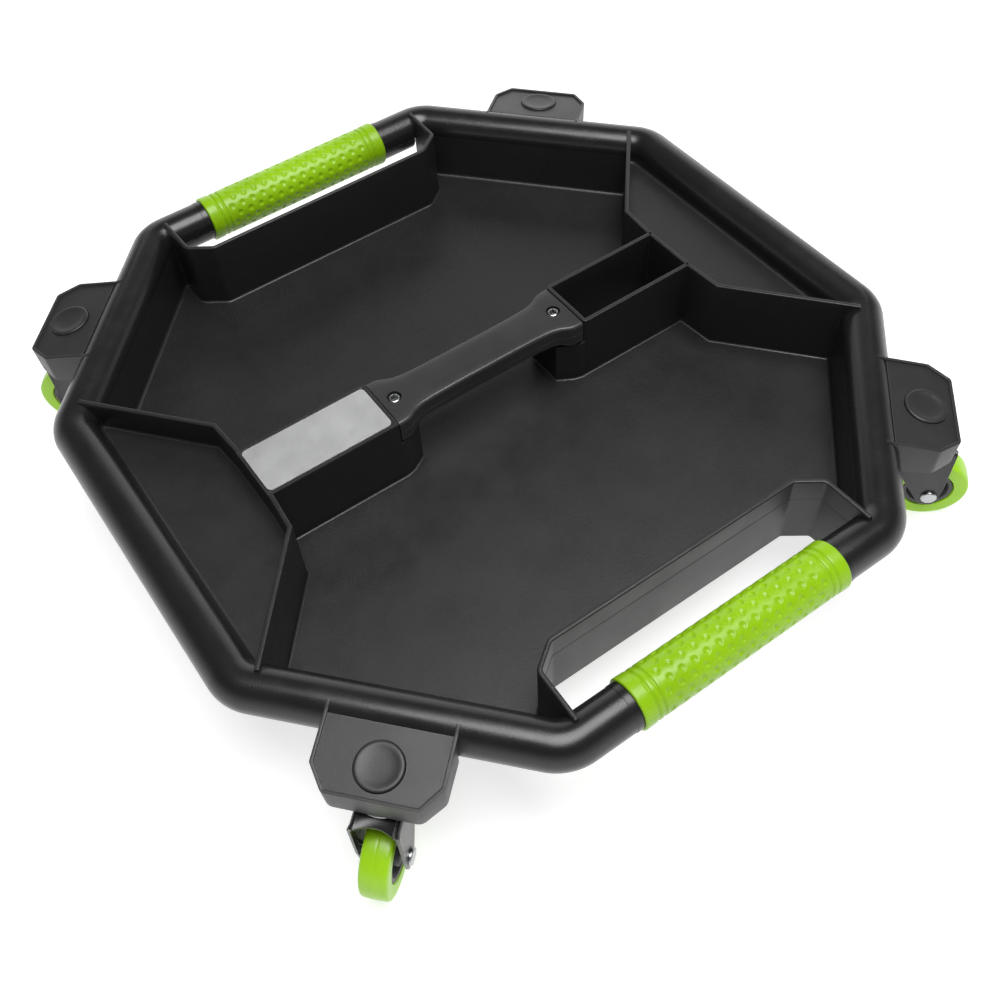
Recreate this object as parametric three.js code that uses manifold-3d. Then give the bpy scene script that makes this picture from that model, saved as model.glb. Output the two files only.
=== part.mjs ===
// Rolling octagonal workshop tray: a one-piece moulded tray with a hollow tubular rim, two gripped
// rim handles, a bolted centre handle, a steel plate and four bracketed swivel casters.
// Millimetres, +Z up. Origin on the floor under the middle of the tray; X runs along the centre
// handle, Y runs from grip to grip.

import * as THREE from "three";
import { mergeVertices } from "three/addons/utils/BufferGeometryUtils.js";
import Module from "manifold-3d";

const wasm = await Module();
wasm.setup();

// ---- Driving dimensions ------------------------------------------------------------------------
const GAP = 0.3; // clearance left between neighbouring pieces
const WALL = 2.8; // moulded wall thickness

// Tray levels above the floor
const DIVIDER_TOP_Z = 103;
const RIM_Z = 87.8; // centre of the rim tube
const FLOOR_TOP_Z = 53.7;
const FLOOR_BOTTOM_Z = 50.7;
const SHELF_TOP_Z = 83.8; // floor of the two shallow end compartments
const SHELF_BOTTOM_Z = 81;

// Rim tube, and the octagon of its centreline
const RIM_R = 13.7;
const RIM_BEND_R = 21;
const SIDE_X = 226.8;
const SIDE_HALF = 108.2;
const HANDLE_Y = 237.6;
const HANDLE_HALF = 110.8;
const RIM_LIP_ANGLE = -50; // the rim's outer lip stops this far below the horizontal

// End dividers (as points of the +X, +Y quarter) and their thickness
const DIVIDER_POINTS = [[156.1, 20.6], [158.1, 46.4], [216, 115]];
const DIVIDER_T = 3;

// Hand openings through the floor behind each rim handle (points of the +X, +Y quarter)
const OPENING_POINTS = [[101.4, 233.9], [100.3, 201.3], [85.3, 190.3]];
const HANDLE_SPAN = 99; // half the free length of the rim handle

// Centre boxes
const BOX_END_X = 69.3;
const BOX_HALF_Y = 20.5;
const BOX_FAR_X = 157;
const PEDESTAL_END_X = 52.8;
const PEDESTAL_TOP_Z = 84.7;
const PEDESTAL_NECK_HALF_Y = 13.1;
const PEDESTAL_SHOULDER = [62.8, 18.9];
const PLATE = { x0: 71.8, x1: 155.6, halfY: 17.9, corner: 3, t: 1.9 };

// Centre handle
const GRIP_BAR = { topZ: 102.6, splitZ: 94.2, bevel: 2.3, screwX: 60, headWell: 3.4 };
const HANDLE_STATIONS = [
  // [x, half width, underside z]
  [69, 20.2, 85],
  [62, 20, 85],
  [59.5, 19.1, 85.2],
  [56.5, 17.3, 86.6],
  [53, 15.6, 87.3],
  [48, 14.5, 87.5],
  [40, 13.9, 87.5],
  [20, 13.6, 87.5],
  [0, 13.6, 87.5],
];

// Rim grips
const SLEEVE_HALF = 71.3;
const SLEEVE_R = 15.2;
const SLEEVE_BORE_R = RIM_R + GAP;

// Caster brackets, measured outwards from the rim tube's centreline
const BRACKET_SIDE = [35.7, 34.8]; // outward distance and half width where the sides end
const BRACKET_NOSE = [48.9, 25];
const BRACKET_SKIRT_Z = 74.7;
const BRACKET_SIDE_TOP_Z = 95;
const BRACKET_SLOPE = 0.16; // fall of the top per unit outwards
const RIB_T = 2;
const RIB_H = 1.2;
const SWIVEL_N = 31; // swivel axis, outwards from the rim centreline
const CAP_R = 13.1;
const FLANGE_Z = [70.9, 73.7];
const FLANGE_HALF = 30;
const FLANGE_SCREW_T = 22;

// Casters
const WHEEL_R = 25;
const WHEEL_W = 16;
const HUB_R = 15.6;
const TRAIL = 17.3;
const AXLE_R = 2.8;
const FORK_HALF = 13.3;
const FORK_T = 2;
const FORK_TOP_Z = 68.7;
const FORK_PLATE_T = 2.2;
const FORK_FRONT = 24.4;
const FORK_BACK = -13.5;
const PIN_R = 5.5;

// Screws
const SCREW_SHANK_R = 2.1;
const SCREW_HOLE_R = SCREW_SHANK_R + GAP;
const SCREW_HEAD_R = 4.1;

// ---- Materials ---------------------------------------------------------------------------------
const material = (color, roughness, metalness = 0) =>
  new THREE.MeshStandardMaterial({ color, roughness, metalness });
const trayBlack = material(0x1c1d1e, 0.5);
const handleBlack = material(0x242526, 0.45);
const bracketGrey = material(0x3c3d3e, 0.62);
const limeRubber = material(0x86bf12, 0.6);
const limeTyre = material(0x8ccc18, 0.4);
const hubGrey = material(0x3f4042, 0.55);
const forkBlack = material(0x1a1a1b, 0.35, 0.6);
const zinc = material(0xc4c6c8, 0.28, 1);
const plateSteel = material(0xb4b6b8, 0.35, 1);

// ---- Solids ------------------------------------------------------------------------------------
const rad = THREE.MathUtils.degToRad;

function volumeOf(geometry) {
  const p = geometry.attributes.position;
  const corners = [0, 1, 2].map(() => new THREE.Vector3());
  let sum = 0;
  for (let i = 0; i < geometry.index.count; i += 3) {
    corners.forEach((c, k) => c.fromBufferAttribute(p, geometry.index.getX(i + k)));
    sum += corners[0].dot(corners[1].clone().cross(corners[2])) / 6;
  }
  return sum;
}

// Welded copy of a closed geometry, turned so that its faces point out.
function weld(source) {
  const bare = source.clone();
  for (const name of Object.keys(bare.attributes)) {
    if (name !== "position") bare.deleteAttribute(name);
  }
  const geometry = mergeVertices(bare, 1e-4);
  if (volumeOf(geometry) < 0) {
    const index = geometry.index.array;
    for (let i = 0; i < index.length; i += 3) {
      [index[i], index[i + 1]] = [index[i + 1], index[i]];
    }
  }
  return geometry;
}

function solid(source) {
  const geometry = weld(source);
  const vertProperties = new Float32Array(geometry.attributes.position.array);
  const triVerts = new Uint32Array(geometry.index.array);
  return new wasm.Manifold(new wasm.Mesh({ numProp: 3, vertProperties, triVerts }));
}

function geometryOf(manifold) {
  const { vertProperties, triVerts } = manifold.getMesh();
  const geometry = new THREE.BufferGeometry();
  geometry.setAttribute("position", new THREE.BufferAttribute(vertProperties, 3));
  geometry.setIndex(new THREE.BufferAttribute(triVerts, 1));
  return geometry;
}

// Upright prism over an outline of [x, y] points.
function prism(outline, z0, z1) {
  const shape = new THREE.Shape(outline.map(([x, y]) => new THREE.Vector2(x, y)));
  const geometry = new THREE.ExtrudeGeometry(shape, { depth: z1 - z0, bevelEnabled: false });
  return solid(geometry.translate(0, 0, z0));
}

function block(x0, x1, y0, y1, z0, z1) {
  return prism([[x0, y0], [x1, y0], [x1, y1], [x0, y1]], z0, z1);
}

function rod(radius, z0, z1, x = 0, y = 0, segments = 16) {
  const geometry = new THREE.CylinderGeometry(radius, radius, z1 - z0, segments);
  return solid(geometry.rotateX(Math.PI / 2).translate(x, y, (z0 + z1) / 2));
}

// Solid of revolution about Z from [radius, z] points.
function turned(profile, segments) {
  const points = profile.map(([r, z]) => new THREE.Vector2(r, z));
  return weld(new THREE.LatheGeometry(points, segments).rotateX(Math.PI / 2));
}

// Skin over equal rings of points; closed rings make a ring-shaped body, otherwise both ends get a
// flat cap.
function loft(rings, closed) {
  const count = rings[0].length;
  const positions = rings.flat(2);
  const index = [];
  const spans = closed ? rings.length : rings.length - 1;
  for (let i = 0; i < spans; i++) {
    const a = i * count;
    const b = ((i + 1) % rings.length) * count;
    for (let j = 0; j < count; j++) {
      const k = (j + 1) % count;
      index.push(a + j, b + j, b + k, a + j, b + k, a + k);
    }
  }
  if (!closed) {
    const last = (rings.length - 1) * count;
    for (let j = 1; j < count - 1; j++) {
      index.push(0, j, j + 1, last, last + j + 1, last + j);
    }
  }
  const geometry = new THREE.BufferGeometry();
  geometry.setAttribute("position", new THREE.Float32BufferAttribute(positions, 3));
  geometry.setIndex(index);
  return geometry;
}

const joined = (solids) => solids.reduce((a, b) => a.add(b));
const mirrorX = (points) => points.map(([x, y]) => [-x, y]);
const mirrorY = (points) => points.map(([x, y]) => [x, -y]);

// Full outline from the points of its +Y half, symmetric about the X axis.
const symmetricY = (half) => [...half, ...mirrorY(half).reverse()];

// Outline of a wall of the given thickness along an open line of points, with mitred bends.
function ribbon(points, thickness) {
  const normals = points.slice(1).map(([x, y], i) => {
    const [px, py] = points[i];
    const length = Math.hypot(x - px, y - py);
    return [(py - y) / length, (x - px) / length];
  });
  const offsets = points.map((point, i) => {
    const a = normals[Math.max(i - 1, 0)];
    const b = normals[Math.min(i, normals.length - 1)];
    const scale = thickness / 2 / (1 + a[0] * b[0] + a[1] * b[1]);
    return [(a[0] + b[0]) * scale, (a[1] + b[1]) * scale];
  });
  const left = points.map(([x, y], i) => [x + offsets[i][0], y + offsets[i][1]]);
  const right = points.map(([x, y], i) => [x - offsets[i][0], y - offsets[i][1]]);
  return [...left, ...right.reverse()];
}

// ---- Octagon -----------------------------------------------------------------------------------
const chamferLength = Math.hypot(SIDE_X - HANDLE_HALF, HANDLE_Y - SIDE_HALF);
const chamferNormal = [
  (HANDLE_Y - SIDE_HALF) / chamferLength,
  (SIDE_X - HANDLE_HALF) / chamferLength,
];
const chamferMiddle = [(SIDE_X + HANDLE_HALF) / 2, (SIDE_HALF + HANDLE_Y) / 2];
const chamferAngle = Math.atan2(chamferNormal[1], chamferNormal[0]);

// Corners anticlockwise, each with the outward directions of the sides before and after it.
const [CX, CY] = chamferNormal;
const CORNERS = [
  [[SIDE_X, -SIDE_HALF], [CX, -CY], [1, 0]],
  [[SIDE_X, SIDE_HALF], [1, 0], [CX, CY]],
  [[HANDLE_HALF, HANDLE_Y], [CX, CY], [0, 1]],
  [[-HANDLE_HALF, HANDLE_Y], [0, 1], [-CX, CY]],
  [[-SIDE_X, SIDE_HALF], [-CX, CY], [-1, 0]],
  [[-SIDE_X, -SIDE_HALF], [-1, 0], [-CX, -CY]],
  [[-HANDLE_HALF, -HANDLE_Y], [-CX, -CY], [0, -1]],
  [[HANDLE_HALF, -HANDLE_Y], [0, -1], [CX, -CY]],
];
const BEND_STEPS = 3;
const BEYOND = 300; // further out than any part of the tray

// Points round the octagon's rounded centreline, each with its outward direction.
const stations = CORNERS.flatMap(([[x, y], before, after]) => {
  const reach = RIM_BEND_R / (1 + before[0] * after[0] + before[1] * after[1]);
  const cx = x - (before[0] + after[0]) * reach;
  const cy = y - (before[1] + after[1]) * reach;
  const start = Math.atan2(before[1], before[0]);
  const turn = Math.atan2(
    before[0] * after[1] - before[1] * after[0],
    before[0] * after[0] + before[1] * after[1],
  );
  return Array.from({ length: BEND_STEPS + 1 }, (_, i) => {
    const angle = start + (turn * i) / BEND_STEPS;
    const nx = Math.cos(angle);
    const ny = Math.sin(angle);
    return { x: cx + RIM_BEND_R * nx, y: cy + RIM_BEND_R * ny, nx, ny };
  });
});

const octagon = (offset) => stations.map((s) => [s.x + s.nx * offset, s.y + s.ny * offset]);

// Arc of [offset, z] points round the rim tube's centre; angles in degrees.
function rimArc(radius, from, to, steps) {
  return Array.from({ length: steps + 1 }, (_, i) => {
    const angle = rad(from + ((to - from) * i) / steps);
    return [radius * Math.cos(angle), RIM_Z + radius * Math.sin(angle)];
  });
}

// ---- Tray --------------------------------------------------------------------------------------
const LIP_STEPS = 3;
const CROWN_STEPS = 8;

function rimAndWall() {
  const profile = [
    ...rimArc(RIM_R, RIM_LIP_ANGLE, 0, LIP_STEPS),
    ...rimArc(RIM_R, 0, 180, CROWN_STEPS).slice(1),
    [-RIM_R, FLOOR_BOTTOM_Z],
    [-RIM_R + WALL, FLOOR_BOTTOM_Z],
    ...rimArc(RIM_R - WALL, 180, 0, CROWN_STEPS),
    ...rimArc(RIM_R - WALL, 0, RIM_LIP_ANGLE, LIP_STEPS).slice(1),
  ];
  const rings = stations.map((s) => profile.map(([n, z]) => [s.x + s.nx * n, s.y + s.ny * n, z]));
  return solid(loft(rings, true));
}

const dividerLine = symmetricY([...DIVIDER_POINTS].reverse());
const openingLine = [...OPENING_POINTS, ...mirrorX(OPENING_POINTS).reverse()];
const bothEnds = (line) => [line, mirrorX(line)];
const bothHandles = (line) => [line, mirrorY(line)];

// Region between a divider line and a straight edge further out.
const shelfOutline = (line, x) => [...line, [x, line.at(-1)[1]], [x, line[0][1]]];

function wallAlong(line) {
  const outline = ribbon(line, DIVIDER_T);
  const inside = prism(octagon(-RIM_R + WALL / 2), FLOOR_BOTTOM_Z, DIVIDER_TOP_Z);
  const low = prism(outline, FLOOR_BOTTOM_Z, DIVIDER_TOP_Z).intersect(inside);
  return low.add(prism(outline, RIM_Z + RIM_R / 2, DIVIDER_TOP_Z));
}

// Centre box, pedestal and screw boss on the +X side; the left one is turned to -X.
function pedestalOutline(inset) {
  const s = inset * 0.6;
  return symmetricY([
    [PEDESTAL_END_X + inset, PEDESTAL_NECK_HALF_Y - s],
    [PEDESTAL_SHOULDER[0] + s, PEDESTAL_SHOULDER[1] - inset],
    [BOX_END_X - 0.5, BOX_HALF_Y - inset],
    [BOX_END_X + WALL, BOX_HALF_Y - inset],
  ]);
}

const BOSS_R = 5.2;
const BOSS_FOOT_Z = 64;

function pedestal(side) {
  const turn = (points) => (side < 0 ? mirrorX(points) : points);
  const x = side * GRIP_BAR.screwX;
  const shell = prism(turn(pedestalOutline(0)), FLOOR_BOTTOM_Z, PEDESTAL_TOP_Z);
  return { shell, boss: rod(BOSS_R, BOSS_FOOT_Z, PEDESTAL_TOP_Z - 1, x) };
}

function pedestalHollow(side) {
  const outline = pedestalOutline(WALL);
  outline[3][0] = BOX_END_X + 0.01;
  outline[4][0] = BOX_END_X + 0.01;
  const placed = side < 0 ? mirrorX(outline) : outline;
  return prism(placed, FLOOR_BOTTOM_Z - 1, PEDESTAL_TOP_Z - WALL);
}

const RIM_BOSS_R = 4.4;

function buildTray() {
  const floor = prism(octagon(-RIM_R + WALL / 2), FLOOR_BOTTOM_Z, FLOOR_TOP_Z);
  let tray = rimAndWall().add(floor);

  // Open the underside of the two shallow end compartments, then give them their own floors.
  for (const line of bothEnds(dividerLine)) {
    const side = Math.sign(line[0][0]);
    const under = prism(shelfOutline(line, side * BEYOND), FLOOR_BOTTOM_Z - 1, SHELF_BOTTOM_Z);
    const within = prism(octagon(-RIM_R + WALL + 0.5), FLOOR_BOTTOM_Z - 1, SHELF_BOTTOM_Z);
    tray = tray.subtract(under.intersect(within));
  }
  for (const line of bothEnds(dividerLine)) {
    const side = Math.sign(line[0][0]);
    const shelf = prism(shelfOutline(line, side * BEYOND), SHELF_BOTTOM_Z, SHELF_TOP_Z);
    const within = prism(octagon(-RIM_R + WALL / 2), SHELF_BOTTOM_Z, SHELF_TOP_Z);
    tray = tray.add(shelf.intersect(within)).add(wallAlong(line));
  }

  // Hand openings: walled all round and cut right through the floor and the rim's inner wall.
  for (const line of bothHandles(openingLine)) {
    tray = tray.add(wallAlong(line));
    const side = Math.sign(line[0][1]);
    const half = DIVIDER_T / 2;
    const hole = [
      [HANDLE_SPAN, side * (HANDLE_Y - RIM_R + WALL + 0.2)],
      [OPENING_POINTS[1][0] - half, side * (OPENING_POINTS[1][1] + 0.8)],
      [OPENING_POINTS[2][0] - half * 0.3, side * (OPENING_POINTS[2][1] + half)],
    ];
    const outline = [...hole, ...mirrorX(hole).reverse()];
    tray = tray.subtract(prism(outline, FLOOR_BOTTOM_Z - 1, RIM_Z));
  }

  // Centre boxes: an open pocket on the right, a closed deck that carries the plate on the left.
  const deckTop = DIVIDER_TOP_Z - PLATE.t - GAP;
  const deckUnder = deckTop - WALL;
  const inner = BOX_HALF_Y - WALL;
  const supports = [pedestal(1), pedestal(-1)];
  const pocket = block(BOX_END_X, BOX_FAR_X, -BOX_HALF_Y, BOX_HALF_Y, FLOOR_BOTTOM_Z, DIVIDER_TOP_Z);
  const deck = block(-BOX_FAR_X, -BOX_END_X, -BOX_HALF_Y, BOX_HALF_Y, FLOOR_BOTTOM_Z, DIVIDER_TOP_Z);
  tray = joined([tray, pocket, deck, ...supports.map((s) => s.shell)]);
  tray = tray.subtract(
    block(BOX_END_X + WALL, BOX_FAR_X - 2.6, -inner, inner, FLOOR_TOP_Z, DIVIDER_TOP_Z + 1),
  );
  tray = tray.subtract(
    block(-BOX_FAR_X + 2.6, -BOX_END_X - WALL, -inner, inner, FLOOR_BOTTOM_Z - 1, deckUnder),
  );
  tray = tray.subtract(prism(plateOutline(GAP), deckTop, DIVIDER_TOP_Z + 1));
  for (const side of [1, -1]) {
    tray = tray.subtract(pedestalHollow(side));
    tray = tray.add(pedestal(side).boss);
    const hole = rod(SCREW_HOLE_R, BOSS_FOOT_Z - 1, PEDESTAL_TOP_Z + 1, side * GRIP_BAR.screwX);
    tray = tray.subtract(hole);
  }

  // Screw bosses inside the rim for the caster brackets.
  for (const { place } of casterPlaces) {
    for (const t of [-FLANGE_SCREW_T, FLANGE_SCREW_T]) {
      const [x, y] = place(0, t);
      tray = tray.add(rod(RIM_BOSS_R, FLANGE_Z[1] + GAP, RIM_Z + RIM_R - 1.5, x, y, 12));
      tray = tray.subtract(rod(SCREW_HOLE_R, FLANGE_Z[1], RIM_Z + 1, x, y, 12));
    }
  }
  return tray;
}

function plateOutline(grow) {
  const { x0, x1, halfY, corner } = PLATE;
  const r = corner + grow;
  const middle = -(x0 + x1) / 2;
  const cx = (x1 - x0) / 2 - corner;
  const cy = halfY - corner;
  const steps = 4;
  return [[1, 1, 0], [-1, 1, 90], [-1, -1, 180], [1, -1, 270]].flatMap(([sx, sy, from]) =>
    Array.from({ length: steps + 1 }, (_, i) => {
      const angle = rad(from + (90 * i) / steps);
      return [middle + sx * cx + r * Math.cos(angle), sy * cy + r * Math.sin(angle)];
    }),
  );
}

// ---- Centre handle -----------------------------------------------------------------------------
function handleRings(ringAt) {
  const half = HANDLE_STATIONS.map(([x, w, z]) => ({ x, w, z }));
  const all = [...half.map((s) => ({ ...s, x: -s.x })), ...half.slice(0, -1).reverse()];
  return all.map(({ x, w, z }) => ringAt(w, z).map(([y, h]) => [x, y, h]));
}

function drilled(body, z0, z1) {
  let result = body;
  for (const x of [-GRIP_BAR.screwX, GRIP_BAR.screwX]) {
    result = result.subtract(rod(SCREW_HOLE_R, z0, z1, x, 0, 12));
  }
  return result;
}

function buildHandleTop() {
  const { topZ, splitZ, bevel, headWell } = GRIP_BAR;
  const rings = handleRings((w) => [
    [-w, splitZ],
    [w, splitZ],
    [w + 0.2, topZ - bevel],
    [w - bevel * 0.4, topZ - bevel * 0.35],
    [w - bevel * 1.3, topZ],
    [-w + bevel * 1.3, topZ],
    [-w + bevel * 0.4, topZ - bevel * 0.35],
    [-w - 0.2, topZ - bevel],
  ]);
  let body = drilled(solid(loft(rings, false)), splitZ - 1, topZ + 1);
  for (const x of [-GRIP_BAR.screwX, GRIP_BAR.screwX]) {
    body = body.subtract(rod(SCREW_HEAD_R + 0.5, topZ - headWell, topZ + 1, x));
  }
  return body;
}

function buildHandleBottom() {
  const z1 = GRIP_BAR.splitZ - GAP;
  const rings = handleRings((w, z0) => [
    [-w + 2.6, z0],
    [w - 2.6, z0],
    [w - 0.6, z0 + 1.4],
    [w, z0 + 3.4],
    [w, z1],
    [-w, z1],
    [-w, z0 + 3.4],
    [-w + 0.6, z0 + 1.4],
  ]);
  return drilled(solid(loft(rings, false)), PEDESTAL_TOP_Z, z1 + 1);
}

// Six-lobed driver recess.
function lobes(radius) {
  const points = 12;
  return Array.from({ length: points }, (_, i) => {
    const angle = (2 * Math.PI * i) / points;
    const r = radius * (1 + 0.16 * Math.cos(6 * angle));
    return [r * Math.cos(angle), r * Math.sin(angle)];
  });
}

// Pan-head screw along +Z with its head's seat at z = 0 and the shank below.
function screw(shankLength, headHeight, segments) {
  const shape = turned(
    [
      [0, -shankLength],
      [SCREW_SHANK_R, -shankLength + 1.5],
      [SCREW_SHANK_R, 0],
      [SCREW_HEAD_R, 0],
      [SCREW_HEAD_R, headHeight * 0.45],
      [SCREW_HEAD_R - 0.9, headHeight * 0.9],
      [SCREW_HEAD_R - 2, headHeight],
      [0, headHeight],
    ],
    segments,
  );
  return solid(shape).subtract(prism(lobes(1.7), headHeight * 0.35, headHeight + 1));
}

// ---- Rim handle --------------------------------------------------------------------------------
// Lower half of the rim handle, closing the tube's open underside; along X at y = 0.
function buildClosure() {
  const margin = 1.8;
  const profile = [
    ...rimArc(RIM_R, 180 + margin, 360 + RIM_LIP_ANGLE - margin, 9),
    ...rimArc(RIM_R - WALL, 360 + RIM_LIP_ANGLE - margin, 180 + margin, 9),
  ];
  const rings = [-1, 1].map((side) =>
    profile.map(([n, z]) => [side * (HANDLE_SPAN - 0.8), n, z]),
  );
  return loftCapped(rings);
}

// Two-ring loft whose end caps are triangulated as outlines, for profiles that aren't convex.
function loftCapped(rings) {
  const [x0, x1] = rings.map((ring) => ring[0][0]);
  const shape = new THREE.Shape(rings[0].map(([, n, z]) => new THREE.Vector2(n, z)));
  const geometry = new THREE.ExtrudeGeometry(shape, { depth: x1 - x0, bevelEnabled: false });
  const toRim = new THREE.Matrix4().set(0, 0, 1, x0, 1, 0, 0, 0, 0, 1, 0, 0, 0, 0, 0, 1);
  return geometry.applyMatrix4(toRim);
}

// Rubber sleeve along Z with two ring grooves near each end.
function sleeveProfile() {
  const groove = 0.6;
  const half = [
    [SLEEVE_R + 0.3, 0],
    [SLEEVE_R, 7.7],
    [SLEEVE_R - groove, 8.7],
    [SLEEVE_R, 9.7],
    [SLEEVE_R, 12],
    [SLEEVE_R - groove, 13],
    [SLEEVE_R, 14],
  ];
  const low = half.map(([r, d]) => [r, -SLEEVE_HALF + d]);
  const high = half.map(([r, d]) => [r, SLEEVE_HALF - d]).reverse();
  const bore = [[SLEEVE_BORE_R, SLEEVE_HALF], [SLEEVE_BORE_R, -SLEEVE_HALF]];
  return [...low, ...high, ...bore, low[0]];
}

// ---- Caster bracket ----------------------------------------------------------------------------
const topAt = (n) => BRACKET_SIDE_TOP_Z - BRACKET_SLOPE * (n - BRACKET_SIDE[0]);
const slopeAngle = Math.atan(BRACKET_SLOPE);

// Everything above the bracket's sloping top, lowered by the given amount.
function aboveTop(drop) {
  const geometry = new THREE.BoxGeometry(160, 160, 60).translate(0, 0, 30);
  geometry.rotateY(slopeAngle).translate(BRACKET_SIDE[0], 0, BRACKET_SIDE_TOP_Z - drop);
  return solid(geometry);
}

function bracketOutline(inset, start) {
  return symmetricY([
    [start, BRACKET_SIDE[1] - inset],
    [BRACKET_SIDE[0] - inset * 0.35, BRACKET_SIDE[1] - inset],
    [BRACKET_NOSE[0] - inset, BRACKET_NOSE[1] - inset * 0.5],
  ]);
}

const RIB_START = 6;
const PLATE_START = 11;
const WEB = [RIM_R + 0.4, RIM_R + 3.2];

function buildBracket() {
  const draft = 1.1;
  const peak = 110;
  const rings = [[draft, BRACKET_SKIRT_Z], [-0.8, peak]].map(([inset, z]) =>
    bracketOutline(inset, RIB_START).map(([x, y]) => [x, y, z]),
  );
  let body = solid(loft(rings, false)).subtract(aboveTop(0));

  // Recessed plate inside the raised rib.
  const recess = prism(bracketOutline(RIB_T, RIB_START - 2), 60, peak);
  body = body.subtract(recess.intersect(aboveTop(RIB_H)));

  // Hollow skirt, open below.
  const hollow = prism(bracketOutline(WALL + 1, WEB[1]), BRACKET_SKIRT_Z - 1, peak);
  body = body.subtract(hollow.subtract(aboveTop(RIB_H + WALL)));
  const ribHalf = BRACKET_SIDE[1] - RIB_T;
  body = body.subtract(block(RIB_START - 1, PLATE_START, -ribHalf, ribHalf, 60, peak));
  body = body.subtract(block(RIB_START - 1, WEB[0], -50, 50, 60, 92));

  // Inner web and the flange that screws up into the rim.
  const lip = RIM_R - WALL - 0.4;
  const web = block(WEB[0], WEB[1] + 0.6, -FLANGE_HALF, FLANGE_HALF, FLANGE_Z[0], 95.5);
  const flange = block(-lip, WEB[1] + 0.6, -FLANGE_HALF, FLANGE_HALF, ...FLANGE_Z);
  body = joined([body, web, flange]);

  // Socket for the swivel pin, tied to the skirt by cross ribs.
  const under = peak - 15;
  const socket = rod(9, BRACKET_SKIRT_Z, under, SWIVEL_N, 0, 18);
  const ribs = block(SWIVEL_N - 1, SWIVEL_N + 1, -32.6, 32.6, BRACKET_SKIRT_Z + 2, under);
  const tie = block(WEB[0] + 1, BRACKET_NOSE[0] - 3, -1, 1, BRACKET_SKIRT_Z + 2, under);
  const support = joined([socket, ribs, tie]).subtract(aboveTop(RIB_H + 0.5));
  body = body.add(support).subtract(capSeat());
  body = body.subtract(rod(PIN_R + GAP, FLANGE_Z[0], 87.5, SWIVEL_N));

  for (const t of [-FLANGE_SCREW_T, FLANGE_SCREW_T]) {
    body = body.subtract(rod(SCREW_HOLE_R, FLANGE_Z[0] - 1, FLANGE_Z[1] + 1, 0, t, 12));
  }
  return body.subtract(rimClearance());
}

// Room for the rim tube, along Y.
function rimClearance() {
  const geometry = new THREE.CylinderGeometry(RIM_R + GAP, RIM_R + GAP, 90, 24);
  const above = block(-40, 40, -50, 50, FLANGE_Z[1] + 0.05, 120);
  return solid(geometry.translate(0, 0, RIM_Z)).intersect(above);
}

const CAP_SEAT_DEPTH = 3;

function capSeat() {
  const geometry = new THREE.CylinderGeometry(CAP_R + GAP, CAP_R + GAP, 20, 20);
  geometry.rotateX(Math.PI / 2).translate(0, 0, 10 - CAP_SEAT_DEPTH);
  geometry.rotateY(slopeAngle).translate(SWIVEL_N, 0, topAt(SWIVEL_N) - RIB_H);
  return solid(geometry);
}

// Push-in cap over the swivel pin: a slightly dished disc with a rounded rim.
const CAP_PROFILE = [
  [0, GAP - CAP_SEAT_DEPTH],
  [CAP_R, GAP - CAP_SEAT_DEPTH],
  [CAP_R, 0.5],
  [CAP_R - 1.2, 0.9],
  [CAP_R - 4.5, 0.5],
  [0, 0.4],
];

// ---- Caster ------------------------------------------------------------------------------------
// Caster pieces are built with the swivel axis on Z and the wheel trailing towards +X.
const PIN_TOP_Z = 87.2;
const PIN_PROFILE = [
  [0, 63.2],
  [8.4, 63.8],
  [8.4, FORK_TOP_Z - FORK_PLATE_T - GAP],
  [PIN_R, FORK_TOP_Z - FORK_PLATE_T - GAP],
  [PIN_R, PIN_TOP_Z],
  [0, PIN_TOP_Z],
];
const RACE_R = 16.5;
const RACE_PROFILE = [
  [PIN_R + GAP, FORK_TOP_Z + GAP],
  [RACE_R, FORK_TOP_Z + GAP],
  [RACE_R, FORK_TOP_Z + 1.1],
  [13, FORK_TOP_Z + 1.8],
  [10.5, FORK_TOP_Z + 4.4],
  [8, BRACKET_SKIRT_Z - GAP],
  [PIN_R + GAP, BRACKET_SKIRT_Z - GAP],
  [PIN_R + GAP, FORK_TOP_Z + GAP],
];

// Side view of the fork as [trail, z]: legs with an upright front edge, a raked back edge and a
// narrow foot round the axle.
const FORK_SIDE = [
  [FORK_BACK, FORK_TOP_Z],
  [FORK_BACK, 58],
  [1, 35],
  [11.5, 18.6],
  [13.6, 16.8],
  [21.2, 16.8],
  [23.4, 18.8],
  [FORK_FRONT, 34],
  [FORK_FRONT, FORK_TOP_Z],
];

// Plan of the fork, wide over the wheel and narrowing behind the swivel axis.
const forkPlan = (inset, front) =>
  symmetricY([
    [front, FORK_HALF - inset],
    [12, FORK_HALF - inset],
    [-3, FORK_HALF - 1.3 - inset],
    [FORK_BACK + inset, 7.1 - inset * 0.6],
  ]);

function sideSolid(outline, halfWidth) {
  const shape = new THREE.Shape(outline.map(([x, z]) => new THREE.Vector2(x, z)));
  const depth = 2 * halfWidth;
  const geometry = new THREE.ExtrudeGeometry(shape, { depth, bevelEnabled: false });
  return solid(geometry.rotateX(Math.PI / 2).translate(0, halfWidth, 0));
}

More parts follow.
